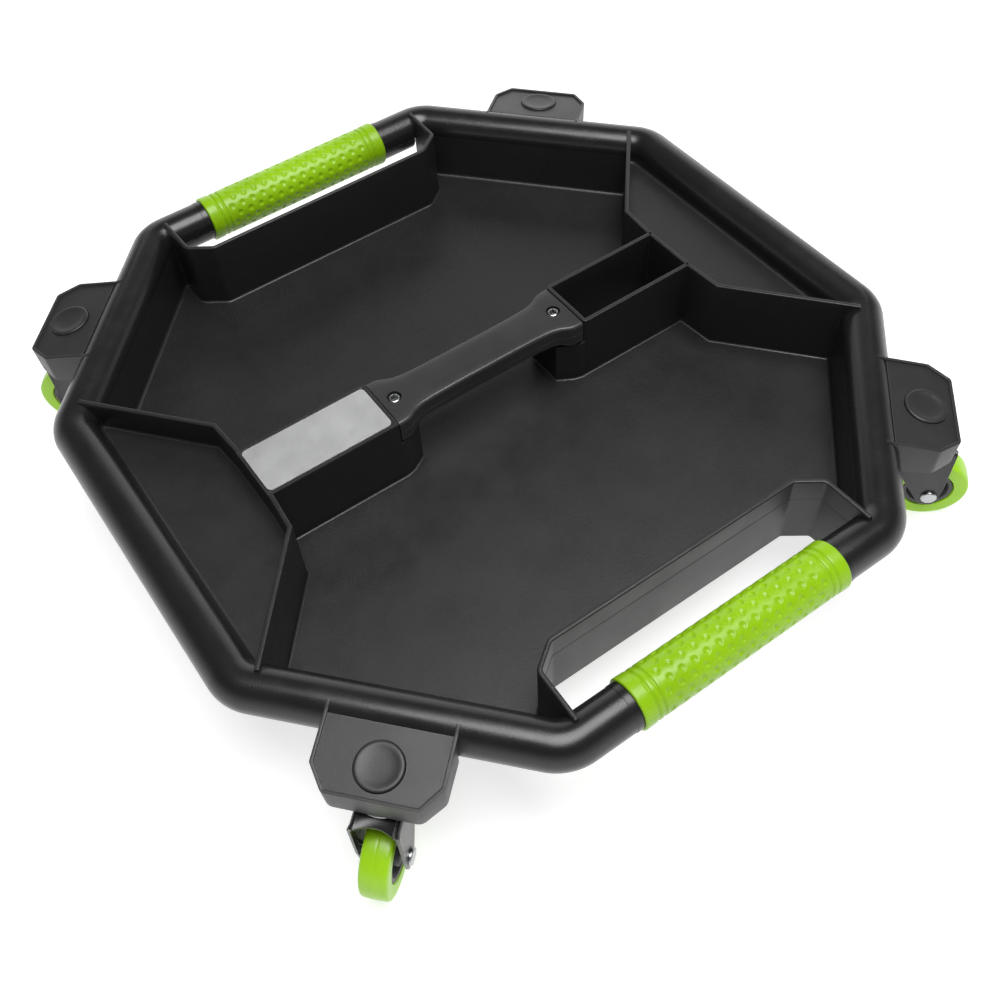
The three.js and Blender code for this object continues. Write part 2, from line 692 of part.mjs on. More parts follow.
function buildFork() {
  const plateZ = FORK_TOP_Z - FORK_PLATE_T;
  let fork = sideSolid(FORK_SIDE, 20).intersect(prism(forkPlan(0, 25), 0, FORK_TOP_Z));
  fork = fork.subtract(prism(forkPlan(FORK_T, 30), 0, plateZ));

  // Front edge of the top scooped back in an arc.
  const scoop = 3.4;
  const chord = FORK_HALF - FORK_T;
  const radius = (chord * chord + scoop * scoop) / (2 * scoop);
  const centre = FORK_FRONT - scoop + radius;
  fork = fork.subtract(rod(radius, 0, FORK_TOP_Z + 1, centre, 0, 32).intersect(
    block(0, 40, -chord, chord, 0, FORK_TOP_Z + 1),
  ));
  fork = fork.subtract(rod(PIN_R + GAP, 0, FORK_TOP_Z + 1));
  const bore = rod(AXLE_R + GAP, -20, 20).rotate([90, 0, 0]).translate([TRAIL, 0, WHEEL_R]);
  return fork.subtract(bore);
}

// Riveted axle along Z, headed at both ends.
const AXLE_HEAD_R = 4.9;
const AXLE_PROFILE = [
  [0, -FORK_HALF - 2.1],
  [AXLE_HEAD_R, -FORK_HALF - 1.6],
  [AXLE_HEAD_R, -FORK_HALF - GAP],
  [AXLE_R, -FORK_HALF - GAP],
  [AXLE_R, FORK_HALF + GAP],
  [AXLE_HEAD_R, FORK_HALF + GAP],
  [AXLE_HEAD_R, FORK_HALF + 1.6],
  [0, FORK_HALF + 2.1],
];

// Hub with a deep dished recess each side and a boss round the axle.
const hubHalf = WHEEL_W / 2 - 0.6;
const hubSide = [
  [AXLE_R + GAP, hubHalf + 1.2],
  [6.4, hubHalf + 1.2],
  [6.8, hubHalf - 4.6],
  [11.6, hubHalf - 4.6],
  [12.6, hubHalf],
  [HUB_R - GAP, hubHalf],
];
const HUB_PROFILE = [
  ...hubSide,
  ...hubSide.map(([r, z]) => [r, -z]).reverse(),
  hubSide[0],
];

const tyreSide = [
  [HUB_R, WHEEL_W / 2],
  [WHEEL_R - 3, WHEEL_W / 2],
  [WHEEL_R - 0.7, WHEEL_W / 2 - 1.4],
  [WHEEL_R, WHEEL_W / 2 - 4],
];
const TYRE_PROFILE = [
  ...tyreSide,
  ...tyreSide.map(([r, z]) => [r, -z]).reverse(),
  tyreSide[0],
];

// ---- Caster positions --------------------------------------------------------------------------
// place(n, t) gives the world x, y of a point n outwards from the rim centreline and t along it.
const casterPlaces = [
  ["left_front", -1, -1],
  ["right_front", 1, -1],
  ["right_rear", 1, 1],
  ["left_rear", -1, 1],
].map(([name, sx, sy]) => {
  const angle = Math.atan2(sy * Math.sin(chamferAngle), sx * Math.cos(chamferAngle));
  const middle = [sx * chamferMiddle[0], sy * chamferMiddle[1]];
  const place = (n, t) => [
    middle[0] + n * Math.cos(angle) - t * Math.sin(angle),
    middle[1] + n * Math.sin(angle) + t * Math.cos(angle),
  ];
  return { name, angle, middle, place };
});

// ---- Assembly ----------------------------------------------------------------------------------
const root = new THREE.Group();

function add(parent, name, geometry, look) {
  const mesh = new THREE.Mesh(geometry, look);
  mesh.name = name;
  parent.add(mesh);
  return mesh;
}

add(root, "tray", geometryOf(buildTray()), trayBlack);
const plateTop = DIVIDER_TOP_Z;
const plate = prism(plateOutline(0), plateTop - PLATE.t, plateTop);
add(root, "steel_plate", geometryOf(plate), plateSteel);

add(root, "centre_handle_top", geometryOf(buildHandleTop()), handleBlack);
add(root, "centre_handle_bottom", geometryOf(buildHandleBottom()), handleBlack);
const handleScrew = geometryOf(screw(29, 2.4, 16));
for (const [name, side] of [["left", -1], ["right", 1]]) {
  const piece = add(root, `handle_screw_${name}`, handleScrew, zinc);
  piece.position.set(side * GRIP_BAR.screwX, 0, GRIP_BAR.topZ - GRIP_BAR.headWell + GAP);
}

const closure = buildClosure();
const sleeve = turned(sleeveProfile(), 20);
for (const [name, side] of [["front", -1], ["rear", 1]]) {
  const handle = new THREE.Group();
  handle.position.set(0, side * HANDLE_Y, 0);
  handle.rotation.z = side < 0 ? Math.PI : 0;
  root.add(handle);
  add(handle, `rim_handle_closure_${name}`, closure, trayBlack);
  const grip = add(handle, `grip_${name}`, sleeve, limeRubber);
  grip.position.z = RIM_Z;
  grip.rotation.y = Math.PI / 2;
}

const bracket = geometryOf(buildBracket());
const cap = turned(CAP_PROFILE, 20);
const pin = turned(PIN_PROFILE, 14);
const race = turned(RACE_PROFILE, 20);
const fork = geometryOf(buildFork());
const axle = turned(AXLE_PROFILE, 12);
const hub = turned(HUB_PROFILE, 20);
const tyre = turned(TYRE_PROFILE, 32);
const flangeScrew = geometryOf(screw(14.5, 2.3, 10));

for (const { name, angle, middle } of casterPlaces) {
  const corner = new THREE.Group();
  corner.position.set(middle[0], middle[1], 0);
  corner.rotation.z = angle;
  root.add(corner);

  add(corner, `bracket_${name}`, bracket, bracketGrey);
  const lid = add(corner, `stem_cap_${name}`, cap, bracketGrey);
  lid.position.set(SWIVEL_N, 0, topAt(SWIVEL_N) - RIB_H);
  lid.rotation.y = slopeAngle;
  for (const [end, t] of [["a", -FLANGE_SCREW_T], ["b", FLANGE_SCREW_T]]) {
    const piece = add(corner, `bracket_screw_${name}_${end}`, flangeScrew, zinc);
    piece.position.set(0, t, FLANGE_Z[0] - GAP);
    piece.rotation.x = Math.PI;
  }

  const caster = new THREE.Group();
  caster.position.x = SWIVEL_N;
  corner.add(caster);
  add(caster, `swivel_pin_${name}`, pin, zinc);
  add(caster, `swivel_race_${name}`, race, zinc);
  add(caster, `fork_${name}`, fork, forkBlack);

  const wheel = new THREE.Group();
  wheel.position.set(TRAIL, 0, WHEEL_R);
  wheel.rotation.x = Math.PI / 2;
  caster.add(wheel);
  add(wheel, `axle_${name}`, axle, zinc);
  add(wheel, `hub_${name}`, hub, hubGrey);
  add(wheel, `tyre_${name}`, tyre, limeTyre);
}

export default root;
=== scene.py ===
import math

import bmesh
import bpy
from mathutils import Matrix, Vector


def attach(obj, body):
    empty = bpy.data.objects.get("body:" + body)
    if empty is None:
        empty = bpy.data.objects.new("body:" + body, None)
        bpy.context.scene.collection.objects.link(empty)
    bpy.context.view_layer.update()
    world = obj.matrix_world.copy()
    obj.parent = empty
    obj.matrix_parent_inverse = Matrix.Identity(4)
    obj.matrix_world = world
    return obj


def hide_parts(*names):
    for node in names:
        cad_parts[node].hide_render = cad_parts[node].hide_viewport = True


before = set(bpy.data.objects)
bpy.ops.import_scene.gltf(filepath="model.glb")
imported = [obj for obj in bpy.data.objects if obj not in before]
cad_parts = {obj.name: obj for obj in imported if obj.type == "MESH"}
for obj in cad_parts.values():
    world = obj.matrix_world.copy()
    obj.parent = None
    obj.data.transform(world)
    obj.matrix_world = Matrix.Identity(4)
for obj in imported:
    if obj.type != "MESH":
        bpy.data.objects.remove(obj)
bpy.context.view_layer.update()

# ---- Dimensions in millimetres, as in the CAD ---------------------------------------------------
MM = 0.001

# Tray: heights, the rim's tube and centreline, and the walls' centrelines in one quarter
TOP_Z = 103.0
RIM_Z, RIM_R, RIM_BEND = 87.8, 13.7, 21.0
LIP = -50  # angle from level, on the outside, where the rim's open lower side starts
WALL, THIN = 2.8, 3.0  # thickness of the shells, and of the dividers and the hand openings' walls
FLOOR_Z, UNDER_Z = 53.7, 50.7
SHELF_Z, SHELF_UNDER_Z = 83.8, 81.0
SIDE_X, SIDE_HALF = 226.8, 108.2
HANDLE_Y, HANDLE_HALF = 237.6, 110.8
DIVIDER = [(156.1, 20.6), (158.1, 46.4), (216.0, 115.0)]
OPENING = [(101.4, 233.9), (100.3, 201.3), (85.3, 190.3)]
OPENING_X, RIM_IN_Y = 101.1, 226.1  # where a hand opening's wall comes off the rim
SPLIT = (219.5, 116.3)  # rim centreline beside the end of a divider
ON_RIM_Z = 95.0  # foot of a wall where it runs up onto the rim

# Centre boxes, plate, pedestals and centre handle
BOX_X, BOX_FAR, BOX_Y = 69.3, 157.0, 20.5
BOX_END_WALL = 2.6
PLATE_X, PLATE_FAR, PLATE_Y, PLATE_BEND = -71.8, -155.6, 17.9, 3.0  # it lies on the left
PLATE_T, PLATE_GAP = 1.9, 0.3
PEDESTAL_X, PEDESTAL_Z = 52.8, 84.7
SCREW_X = 60.0
BOSS_BORE, BOSS_R, PEDESTAL_BOSS_R = 2.4, 4.4, 5.2
BOSS_FOOT, BOSS_TOP, PEDESTAL_BOSS_FOOT = 74, 99, 64
HANDLE_TOP, HANDLE_SPLIT = 102.6, 94.2
HANDLE_END, HANDLE_MESH_END = 69, 68.6  # the mesh ends just short of the boxes
HEAD_WELL_R, HEAD_WELL = 4.75, 3.2  # radius and depth of the well round a screw's head
HANDLE_SHAPE = [  # (distance from the middle, half width, underside)
    (0, 13.6, 87.5), (20, 13.6, 87.5), (40, 13.9, 87.5), (48, 14.5, 87.5), (53, 15.6, 87.3),
    (56.5, 17.3, 86.6), (59.5, 19.1, 85.2), (62, 19.95, 85), (66, 20.15, 85), (69, 20.2, 85),
]

# Grips on the rim handles, and the closures inside them
SLEEVE_HALF, SLEEVE_R = 71.3, 15.2
SWELL, SWELL_REACH = 0.3, 9.0  # how much thicker a sleeve's ends are, and over what length
END_DROP, END_REACH = 0.7, 0.8  # rounding of the very ends
GROOVES, GROOVE_DEPTH, GROOVE_WIDTH = (8.7, 13.0), 0.85, 0.7
DIMPLE_PITCH, DIMPLES, DIMPLE_ROWS, DIMPLE_R, DIMPLE_DEPTH = 8.24, 13, 16, 2.15, 0.85
FIRST_ROW = math.radians(2.5)
CLOSURE_HALF = 98.2

# Brackets, in axes of their own: n out from the rim's centreline, t along it
BODY_N = 11.6
SIDE_N, SIDE_T = 35.7, 34.8
NOSE_N, NOSE_T = 48.9, 25.0
SKIRT_Z, SKIRT_T = 74.7, 2.0
SIDE_TOP_Z, SLOPE = 95.0, 0.16
FLANGE_T, FLANGE_Z, FLANGE_TOP_Z = 30.0, 70.9, 73.7
BRACKET_SCREW_T = 22
SWIVEL_N, CAP_R = 31.0, 13.1

# Casters
WHEEL_R, TRAIL, HUB_R, AXLE_R = 25.0, 17.3, 15.6, 2.8
FORK_HALF, FORK_TOP, FORK_FRONT = 13.3, 68.7, 24.4
SHEET_HALF, SHEET_BEND, FORK_PLATE_T = 1.0, 3.2, 1.9
PIN_R = 5.5

JOIN = 0.02  # overlap or gap that keeps two surfaces of one piece from lying in one plane


# ---- Mesh building ------------------------------------------------------------------------------
def loft(rings, loop=False):
    """Skin over equal rings of points; a loop joins its ends, otherwise both ends are capped."""
    count = len(rings[0])
    verts = [p for ring in rings for p in ring]
    faces = []
    for i in range(len(rings) if loop else len(rings) - 1):
        a, b = i * count, (i + 1) % len(rings) * count
        for j in range(count):
            k = (j + 1) % count
            faces.append((a + j, b + j, b + k, a + k))
    if not loop:
        last = (len(rings) - 1) * count
        faces.append(tuple(range(count)))
        faces.append(tuple(last + j for j in reversed(range(count))))
    return verts, faces


def mitres(points, closed=False):
    """Sideways vectors, to the right of travel, that offset a plan line by one unit."""
    count = len(points)
    sides = []
    for i in range(count if closed else count - 1):
        (x0, y0), (x1, y1) = points[i], points[(i + 1) % count]
        length = math.hypot(x1 - x0, y1 - y0)
        sides.append(((y1 - y0) / length, (x0 - x1) / length))
    result = []
    for i in range(count):
        a = sides[i - 1] if closed or i else sides[0]
        b = sides[i] if i < len(sides) else sides[-1]
        scale = 1 / (1 + a[0] * b[0] + a[1] * b[1])
        result.append(((a[0] + b[0]) * scale, (a[1] + b[1]) * scale))
    return result


def offset(points, distance):
    """The open plan line moved sideways, to the right of travel."""
    return [(x + nx * distance, y + ny * distance) for (x, y), (nx, ny) in zip(points, mitres(points))]


def along(points, section, closed=False):
    """Sweeps a section, a list of (sideways, z) points, along a plan line."""
    rings = []
    for (x, y), (nx, ny) in zip(points, mitres(points, closed)):
        rings.append([(x + nx * s, y + ny * s, z) for s, z in section])
    return loft(rings, closed)


def rounded(points, radius, steps, closed=False):
    """The plan line with its corners rounded."""
    count = len(points)
    result = []
    for i, point in enumerate(points):
        if not closed and i in (0, count - 1):
            result.append(point)
            continue
        p = Vector(point)
        before = (Vector(points[i - 1]) - p).normalized()
        after = (Vector(points[(i + 1) % count]) - p).normalized()
        half = before.angle(after) / 2
        centre = p + (before + after).normalized() * (radius / math.sin(half))
        reach = radius / math.tan(half)
        a = p + before * reach - centre
        b = p + after * reach - centre
        turn = a.angle_signed(b)
        for k in range(steps + 1):
            arm = a.copy()
            arm.rotate(Matrix.Rotation(-turn * k / steps, 2))
            result.append(tuple(centre + arm))
    return result


def rounded_box(x0, x1, y, radius):
    return rounded([(x0, -y), (x1, -y), (x1, y), (x0, y)], radius, 4, closed=True)


def mirrored(points, sx=1, sy=1):
    return [(sx * x, sy * y) for x, y in points]


def both_sides(half):
    """Half an outline, then the same half mirrored in the line y = 0 and run backwards."""
    return half + mirrored(half, 1, -1)[::-1]


def at_height(outline, z):
    return [(x, y, z) for x, y in outline]


def prism(outline, z0, z1):
    return loft([at_height(outline, z0), at_height(outline, z1)])


def block(x0, x1, y0, y1, z0, z1):
    return prism([(x0, y0), (x1, y0), (x1, y1), (x0, y1)], z0, z1)


def spread(steps):
    """Equal angles once round a circle."""
    return [2 * math.pi * k / steps for k in range(steps)]


def turned(profile, steps=72, closed=False):
    """Solid of revolution about Z from (radius, z) points."""
    rings = []
    for r, z in profile:
        rings.append([(r * math.cos(a), r * math.sin(a), z) for a in spread(steps)])
    return loft(rings, closed)


def pipe(bore, radius, z0, z1, steps):
    return turned([(bore, z0), (radius, z0), (radius, z1), (bore, z1)], steps, closed=True)


def placed(part, matrix):
    verts, faces = part
    return [tuple(matrix @ Vector(v)) for v in verts], faces


def shifted(part, x=0.0, y=0.0, z=0.0):
    return placed(part, Matrix.Translation((x, y, z)))


def arc(radius, start, end, steps, x=0.0, z=0.0):
    """Points of an arc in a section; angles in degrees."""
    angles = [math.radians(start + (end - start) * k / steps) for k in range(steps + 1)]
    return [(x + radius * math.cos(a), z + radius * math.sin(a)) for a in angles]


def wall(points, levels, thickness, edge=0.5, foot=None):
    """Upright wall along a plan line, with rounded top edges. levels gives (bottom, top) at each
    point; foot gives the points that the bottom edge follows where the wall is drafted."""
    half = thickness / 2
    bases = foot or points
    rings = []
    for (x, y), (nx, ny), (bx, by), (mx, my), (z0, z1) in zip(
            points, mitres(points), bases, mitres(bases), levels):
        top = [(half - edge + s, z) for s, z in arc(edge, 0, 90, 4, 0, z1 - edge)]
        top += [(-s, z) for s, z in reversed(top)]
        ring = [(bx + mx * half, by + my * half, z0)]
        ring += [(x + nx * s, y + ny * s, z) for s, z in top]
        ring.append((bx - mx * half, by - my * half, z0))
        rings.append(ring)
    return loft(rings)


def cut(piece, part):
    """Cuts a closed (verts, faces) part in millimetres out of a piece."""
    mesh = bpy.data.meshes.new("cutter")
    mesh.from_pydata([tuple(c * MM for c in v) for v in part[0]], [], part[1])
    bm = bmesh.new()
    bm.from_mesh(mesh)
    bmesh.ops.recalc_face_normals(bm, faces=bm.faces)
    bm.to_mesh(mesh)
    bm.free()
    tool = bpy.data.objects.new("cutter", mesh)
    bpy.context.scene.collection.objects.link(tool)
    mod = piece.modifiers.new("cut", "BOOLEAN")
    mod.operation = "DIFFERENCE"
    mod.solver = "EXACT"
    mod.object = tool
    graph = bpy.context.evaluated_depsgraph_get()
    whole = piece.data
    piece.data = bpy.data.meshes.new_from_object(piece.evaluated_get(graph))
    piece.modifiers.remove(mod)
    bpy.data.objects.remove(tool)
    bpy.data.meshes.remove(mesh)
    bpy.data.meshes.remove(whole)


def make(name, parts, material, body, nodes, bevel=0.0, smooth=True, angle=38, holes=()):
    """One Blender piece from (verts, faces) parts in millimetres, riding on a CAD body. Edges sharper
    than the angle stay sharp, and are bevelled by bevel millimetres."""
    verts, faces = [], []
    for part_verts, part_faces in parts:
        start = len(verts)
        verts += [tuple(c * MM for c in v) for v in part_verts]
        faces += [tuple(i + start for i in face) for face in part_faces]
    mesh = bpy.data.meshes.new(name)
    mesh.from_pydata(verts, [], faces)
    bm = bmesh.new()
    bm.from_mesh(mesh)
    bmesh.ops.recalc_face_normals(bm, faces=bm.faces)
    limit = math.radians(angle)
    for edge in bm.edges:
        edge.smooth = len(edge.link_faces) != 2 or edge.calc_face_angle(0) < limit
    for face in bm.faces:
        face.smooth = smooth
    bm.to_mesh(mesh)
    bm.free()
    piece = bpy.data.objects.new(name, mesh)
    bpy.context.scene.collection.objects.link(piece)
    mesh.materials.append(material)
    for part in holes:
        cut(piece, part)
    if bevel:
        mod = piece.modifiers.new("edge", "BEVEL")
        mod.width = bevel * MM
        mod.segments = 2
        mod.limit_method = "ANGLE"
        mod.angle_limit = limit
        mod.harden_normals = True
    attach(piece, body)
    if nodes:
        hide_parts(*nodes)
    return piece


# ---- Materials ----------------------------------------------------------------------------------
def shader(name):
    mat = bpy.data.materials.new(name)
    mat.use_nodes = True
    return mat, mat.node_tree.nodes, mat.node_tree.links


def noise(nodes, links, coords, scale, detail, roughness, distortion=0.0):
    node = nodes.new("ShaderNodeTexNoise")
    node.inputs["Scale"].default_value = scale
    node.inputs["Detail"].default_value = detail
    node.inputs["Roughness"].default_value = roughness
    node.inputs["Distortion"].default_value = distortion
    links.new(coords, node.inputs["Vector"])
    return node.outputs["Fac"]


def ranged(nodes, links, value, low, high, out_low, out_high):
    node = nodes.new("ShaderNodeMapRange")
    for key, number in zip(("From Min", "From Max", "To Min", "To Max"), (low, high, out_low, out_high)):
        node.inputs[key].default_value = number
    links.new(value, node.inputs["Value"])
    return node.outputs["Result"]


def mixed(nodes, links, factor, first, second):
    node = nodes.new("ShaderNodeMix")
    node.data_type = "RGBA"
    links.new(factor, node.inputs[0])
    for socket, value in ((node.inputs[6], first), (node.inputs[7], second)):
        if isinstance(value, tuple):
            socket.default_value = (*value, 1)
        else:
            links.new(value, socket)
    return node.outputs[2]


def worn_edges(nodes, links, patches):
    """1 on sharp edges, in patches, and 0 elsewhere."""
    bevel = nodes.new("ShaderNodeBevel")
    bevel.samples = 4
    bevel.inputs["Radius"].default_value = 0.7 * MM
    turn = nodes.new("ShaderNodeVectorMath")
    turn.operation = "DOT_PRODUCT"
    links.new(bevel.outputs["Normal"], turn.inputs[0])
    links.new(nodes.new("ShaderNodeNewGeometry").outputs["Normal"], turn.inputs[1])
    edge = ranged(nodes, links, turn.outputs["Value"], 0.97, 0.75, 0, 1)
    patchy = nodes.new("ShaderNodeMath")
    patchy.operation = "MULTIPLY"
    links.new(edge, patchy.inputs[0])
    links.new(ranged(nodes, links, patches, 0.3, 0.7, 0.35, 1), patchy.inputs[1])
    return patchy.outputs["Value"]


def surface(name, low, high, rough, grain, bump, metallic=0.0, wear=None, cloud=0.35, sheen=0.5):
    """Moulded, rubber or metal finish. low and high are the colour's limits, rough the limits of
    roughness, grain the size of its texture in millimetres and bump its strength, wear the colour
    of its edges, cloud how much paler its paler patches are, and sheen its specular level."""
    mat, nodes, links = shader(name)
    bsdf = nodes["Principled BSDF"]
    bsdf.inputs["Metallic"].default_value = metallic
    bsdf.inputs["Specular IOR Level"].default_value = sheen
    coords = nodes.new("ShaderNodeTexCoord").outputs["Object"]
    fine = noise(nodes, links, coords, 1000 / grain, 4, 0.6)
    broad = noise(nodes, links, coords, 14, 4, 0.55, 0.4)
    tint = ranged(nodes, links, fine, 0.3, 0.7, 0, 1)
    colour = mixed(nodes, links, tint, low, high)
    haze = ranged(nodes, links, broad, 0.35, 0.65, 0, cloud)
    colour = mixed(nodes, links, haze, colour, tuple(c * 1.35 for c in high))
    if wear:
        colour = mixed(nodes, links, worn_edges(nodes, links, broad), colour, wear)
    links.new(colour, bsdf.inputs["Base Color"])
    gloss = noise(nodes, links, coords, 45, 5, 0.6)
    links.new(ranged(nodes, links, gloss, 0.3, 0.7, *rough), bsdf.inputs["Roughness"])
    relief = nodes.new("ShaderNodeBump")
    relief.inputs["Strength"].default_value = bump
    relief.inputs["Distance"].default_value = 0.2 * MM
    links.new(fine, relief.inputs["Height"])
    links.new(relief.outputs["Normal"], bsdf.inputs["Normal"])
    return mat


tray_black = surface(
    "tray_black", (0.007, 0.0071, 0.0073), (0.0128, 0.0129, 0.0132), (0.34, 0.44),
    grain=0.9, bump=0.7, wear=(0.05, 0.05, 0.051), cloud=0.05)
rim_black = surface(
    "rim_black", (0.007, 0.0071, 0.0073), (0.0105, 0.0106, 0.0108), (0.22, 0.3),
    grain=0.7, bump=0.25, wear=(0.022, 0.022, 0.0225), cloud=0.2)
handle_black = surface(
    "handle_black", (0.018, 0.0181, 0.0184), (0.026, 0.0261, 0.0265), (0.27, 0.36),
    grain=0.6, bump=0.3, wear=(0.09, 0.09, 0.091))
bracket_grey = surface(
    "bracket_grey", (0.009, 0.0091, 0.0093), (0.019, 0.0191, 0.0195), (0.34, 0.46),
    grain=0.6, bump=0.45, wear=(0.07, 0.07, 0.071))
grip_green = surface(
    "grip_green", (0.2, 0.39, 0.0033), (0.24, 0.455, 0.0047), (0.24, 0.32),
    grain=0.8, bump=0.15, sheen=0.36)
tyre_green = surface(
    "tyre_green", (0.27, 0.53, 0.004), (0.31, 0.6, 0.006), (0.28, 0.4),
    grain=1.2, bump=0.1)
hub_grey = surface(
    "hub_grey", (0.03, 0.031, 0.032), (0.05, 0.051, 0.052), (0.4, 0.55),
    grain=0.8, bump=0.3)
fork_black = surface(
    "fork_black", (0.007, 0.007, 0.0073), (0.013, 0.0131, 0.0135), (0.22, 0.32),
    grain=1.4, bump=0.2, wear=(0.22, 0.22, 0.23))
zinc_bright = surface(
    "zinc_bright", (0.33, 0.334, 0.34), (0.5, 0.505, 0.515), (0.2, 0.34),
    grain=0.7, bump=0.2, metallic=1.0, cloud=0.2)
plate_silver = surface(
    "plate_silver", (0.55, 0.553, 0.557), (0.63, 0.633, 0.637), (0.42, 0.5),
    grain=0.7, bump=0.25, metallic=1.0, cloud=0.02)


# ---- Rim and the wall below it ------------------------------------------------------------------
quarter = [(SIDE_X, SIDE_HALF), (HANDLE_HALF, HANDLE_Y)]
octagon = (
    mirrored(quarter, 1, -1)[::-1] + quarter
    + mirrored(quarter, -1, 1)[::-1] + mirrored(quarter, -1, -1)
)


def shell_section(outer, inner, start, end, outer_steps, inner_steps):
    """Section of a shell round the rim's centreline, between two radii and two angles."""
    return arc(outer, start, end, outer_steps, 0, RIM_Z) + arc(inner, end, start, inner_steps, 0, RIM_Z)


# Small concave strips, as (out from the wall, up from the floor)
INNER_FILLET = [(0.0, 2.2), (0.3, 1.0), (1.0, 0.3), (2.2, 0.02)]
FILLET = [(-0.3, 1.5), (0.03, 1.2), (0.2, 0.55), (0.5, 0.22), (1.2, 0.03), (1.2, -0.5), (-0.3, -0.5)]
DRAFT = 0.5  # how far the wall below the rim leans in by the main floor


def inner_wall(floor, under, side):
    """Section of the wall below the rim, with a small fillet where it meets the floor."""
    face = -RIM_R - DRAFT * (RIM_Z - floor) / (RIM_Z - FLOOR_Z)
    inside_tube = RIM_Z + 1.5
    section = [(-RIM_R + 0.3, inside_tube), (-RIM_R - 0.01, RIM_Z - JOIN)]
    section += [(face - n, floor + z) for n, z in INNER_FILLET]
    section.append((face - INNER_FILLET[-1][0], under + JOIN))
    section += [(-RIM_R + WALL, under - 0.01), (-RIM_R + WALL, inside_tube)]
    return [(side * n, z) for n, z in section]


def fillet(line, out, floor, side):
    """Concave strip where a wall meets a floor, out from the wall's plan line on one side."""
    return along(line, [(side * (out + n), floor + z) for n, z in FILLET])


tube = shell_section(RIM_R, RIM_R - WALL, LIP, 180, 46, 40)
rim = [along(rounded(octagon, RIM_BEND, 12, closed=True), tube, closed=True)]
tray = []
side_corners = [*mirrored([SPLIT, quarter[0]], 1, -1), quarter[0], SPLIT]
side_line = rounded(side_corners, RIM_BEND, 12)
end_line = rounded([SPLIT, quarter[1], (OPENING_X - 0.2, HANDLE_Y)], RIM_BEND - 0.01, 12)
for sx in (1, -1):
    tray.append(along(mirrored(side_line, sx), inner_wall(SHELF_Z, SHELF_UNDER_Z, sx)))
    for sy in (1, -1):
        tray.append(along(mirrored(end_line, sx, sy), inner_wall(FLOOR_Z, UNDER_Z, sx * sy)))

# ---- Walls inside the tray ----------------------------------------------------------------------
FOOT_Z = UNDER_Z - 0.01
ON_RIM, UPRIGHT = (ON_RIM_Z, TOP_Z), (FOOT_Z, TOP_Z)  # (bottom, top) of the walls

# Dividers, which run up onto the rim: their foot drops to the floor between two close points
steps_up = [tuple(Vector(DIVIDER[1]).lerp(Vector(DIVIDER[2]), share)) for share in (0.905, 0.904)]
divider_foot = [steps_up[1], DIVIDER[1], DIVIDER[0]]
half_line = [DIVIDER[2], steps_up[0], *divider_foot]
half_levels = [ON_RIM, ON_RIM, UPRIGHT, UPRIGHT, UPRIGHT]
tray.append(wall(both_sides(half_line), half_levels + half_levels[::-1], THIN, edge=0.7))
for sy in (1, -1):
    line = mirrored(half_line + [(DIVIDER[0][0], BOX_Y - 1)], -1, sy)
    tray.append(wall(line, half_levels + [UPRIGHT], THIN, edge=0.7))
    for sx in (1, -1):
        tray.append(fillet(mirrored(divider_foot, sx, sy), THIN / 2, FLOOR_Z, sx * sy))
for sx in (1, -1):
    tray.append(fillet(mirrored(both_sides(divider_foot), sx), THIN / 2, SHELF_Z, -sx))

# Walls round the hand openings, with the fine step left by the mould's parting line
off_rim = [(OPENING_X + 0.05, RIM_IN_Y + 0.1), (OPENING_X + 0.04, RIM_IN_Y)]
bends = rounded([(OPENING_X, RIM_IN_Y - 1.2), *OPENING[1:], (0, OPENING[2][1])], 5, 5)[1:-1]
opening_half = [OPENING[0], *off_rim, *bends]
opening_levels = [ON_RIM, ON_RIM] + [UPRIGHT] * (len(opening_half) - 2)
PARTING_STEP = 0.15
for sy in (1, -1):
    line = mirrored(opening_half, 1, sy) + mirrored(opening_half, -1, sy)[::-1]
    tray.append(wall(line, opening_levels + opening_levels[::-1], THIN, edge=1.1))
    line = line[2:-2]
    tray.append(fillet(line, THIN / 2, FLOOR_Z, -sy))
    line = offset(line, PARTING_STEP * sy)
    tray.append(wall(line, [(FOOT_Z + 0.1, RIM_Z - 0.4)] * len(line), THIN + 0.2, edge=0.2))


# ---- Centre boxes and pedestals -----------------------------------------------------------------
def plate_box():
    """Closed box under the plate, open below, with a recess in its top and eased top edges."""
    deck = TOP_Z - PLATE_T - PLATE_GAP
    plate_mid = (PLATE_X + PLATE_FAR) / 2
    outer = rounded_box(-DIVIDER[0][0] - THIN / 2 + JOIN, -BOX_X, BOX_Y, 0.6)
    recess = rounded_box(
        PLATE_FAR - PLATE_GAP, PLATE_X + PLATE_GAP, PLATE_Y + PLATE_GAP, PLATE_BEND + PLATE_GAP)
    hollow = rounded_box(-BOX_FAR + BOX_END_WALL, -BOX_X - WALL, BOX_Y - WALL, 1)
    recess_edge = [(x + math.copysign(0.3, x - plate_mid), y * 1.015) for x, y in recess]
    outer_edge = [(x * 0.9985 - 0.2, y * 0.98) for x, y in outer]
    return loft([
        at_height(recess, deck), at_height(recess, TOP_Z - 0.3), at_height(recess_edge, TOP_Z - JOIN),
        at_height(outer_edge, TOP_Z - JOIN), at_height(outer, TOP_Z - 0.5), at_height(outer, FOOT_Z),
        at_height(hollow, FOOT_Z), at_height(hollow, deck - WALL),
    ])


def pocket_wall():
    side_y = BOX_Y - WALL / 2
    end_x = BOX_X + WALL / 2
    line = rounded([(BOX_FAR, side_y), (end_x, side_y), (end_x, -side_y), (BOX_FAR, -side_y)], 1.6, 4)
    return wall(line, [(UNDER_Z + 1, TOP_Z)] * len(line), WALL)


